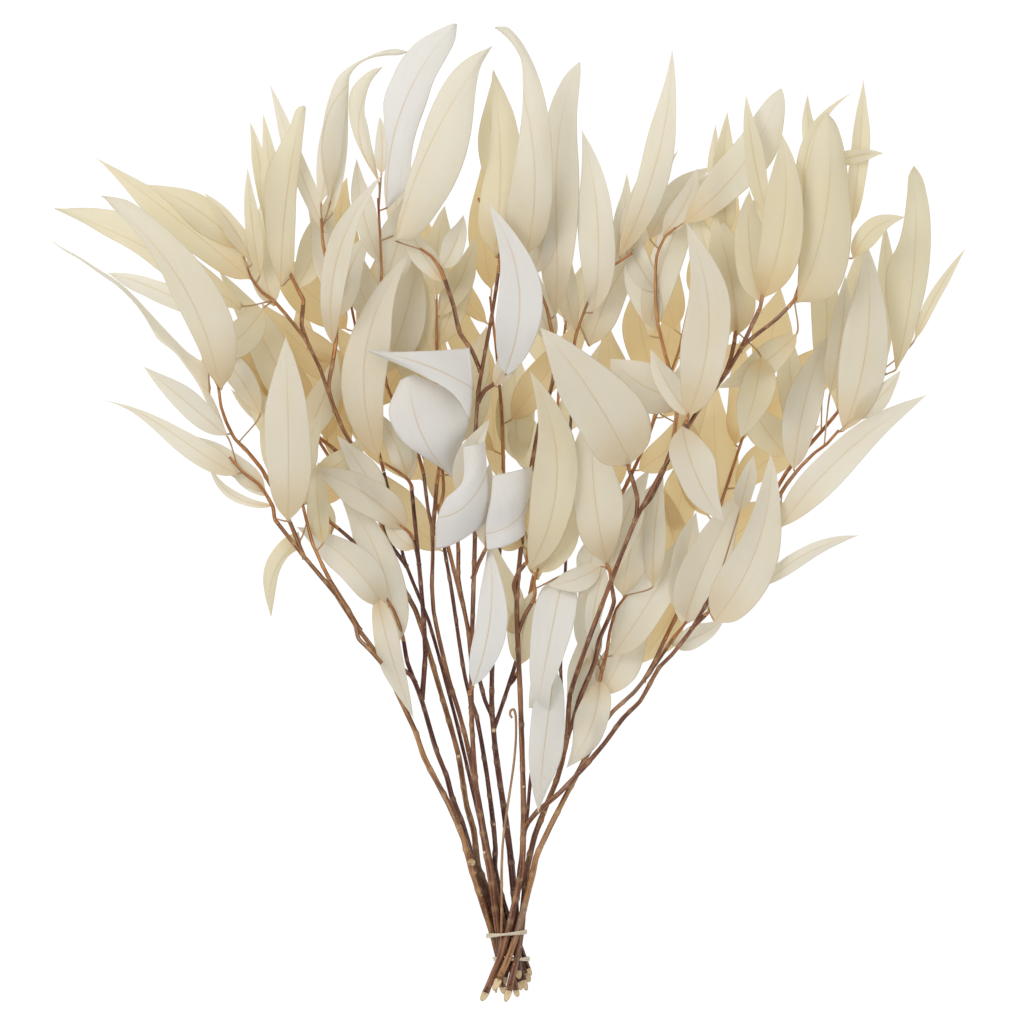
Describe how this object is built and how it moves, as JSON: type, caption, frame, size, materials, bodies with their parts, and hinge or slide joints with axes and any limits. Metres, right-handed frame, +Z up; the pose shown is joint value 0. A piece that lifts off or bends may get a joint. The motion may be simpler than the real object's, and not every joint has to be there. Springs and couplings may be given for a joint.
{
  "type": "tied bunch of dried eucalyptus",
  "caption": "Tied fan-shaped bunch of bleached dried eucalyptus lying flat: thin brown stems crossed at a beige tie, long sickle-shaped cream leaves spreading to the far end.",
  "frame": {"origin": "centre of the bounding box's bottom, on the surface that the bunch lies on", "axes": "+Z up from the surface; the cut stem ends point to -Y and the leaf tips to +Y, along the bunch; +X across the fan, to the right in the picture"},
  "size_m": [0.5462, 0.584, 0.1506],
  "materials": {
    "bark_dark": "dark red-brown bark, matt",
    "bark_brown": "brown bark, matt",
    "bark_tan": "tan bark, matt",
    "bark_pale": "pale thin runner, matt",
    "leaf_front": "bleached dry leaf, near-white cream, thin and a little translucent",
    "leaf_middle": "bleached dry leaf, cream",
    "leaf_back": "bleached dry leaf, yellow tan",
    "tie_cord": "flat beige paper cord"
  },
  "bodies": {
    "root": {"stem_01": "bark_tan", "stem_02": "bark_dark", "stem_03": "bark_tan", "stem_04": "bark_dark", "stem_05": "bark_brown", "stem_06": "bark_brown", "stem_07": "bark_dark", "stem_08": "bark_dark", "stem_09": "bark_pale", "stem_10": "bark_brown", "stem_11": "bark_dark", "stem_12": "bark_brown", "stem_13": "bark_tan", "spray_01": "leaf_front", "spray_02": "leaf_front", "spray_03": "leaf_middle", "spray_04": "leaf_middle", "spray_05": "leaf_front", "spray_06": "leaf_front", "spray_07": "leaf_front", "spray_08": "leaf_back", "spray_09": "leaf_front", "spray_10": "leaf_middle", "spray_11": "leaf_middle", "spray_12": "leaf_front", "spray_13": "leaf_front", "spray_14": "leaf_front", "spray_15": "leaf_front", "spray_16": "leaf_middle", "spray_17": "leaf_front", "spray_18": "leaf_front", "spray_19": "leaf_middle", "spray_20": "leaf_front", "spray_21": "leaf_middle", "spray_22": "leaf_back", "spray_23": "leaf_front", "spray_24": "leaf_middle", "spray_25": "leaf_middle", "spray_26": "leaf_front", "spray_27": "leaf_front", "spray_28": "leaf_front", "spray_29": "leaf_front", "spray_30": "leaf_middle", "spray_31": "leaf_middle", "spray_32": "leaf_middle", "spray_33": "leaf_front", "spray_34": "leaf_middle", "spray_35": "leaf_front", "spray_36": "leaf_front", "spray_37": "leaf_front", "spray_38": "leaf_front", "spray_39": "leaf_back", "spray_40": "leaf_back", "spray_41": "leaf_back", "spray_42": "leaf_back", "spray_43": "leaf_back", "spray_44": "leaf_back", "tie_upper": "tie_cord", "tie_lower": "tie_cord"}
  },
  "joints": []
}
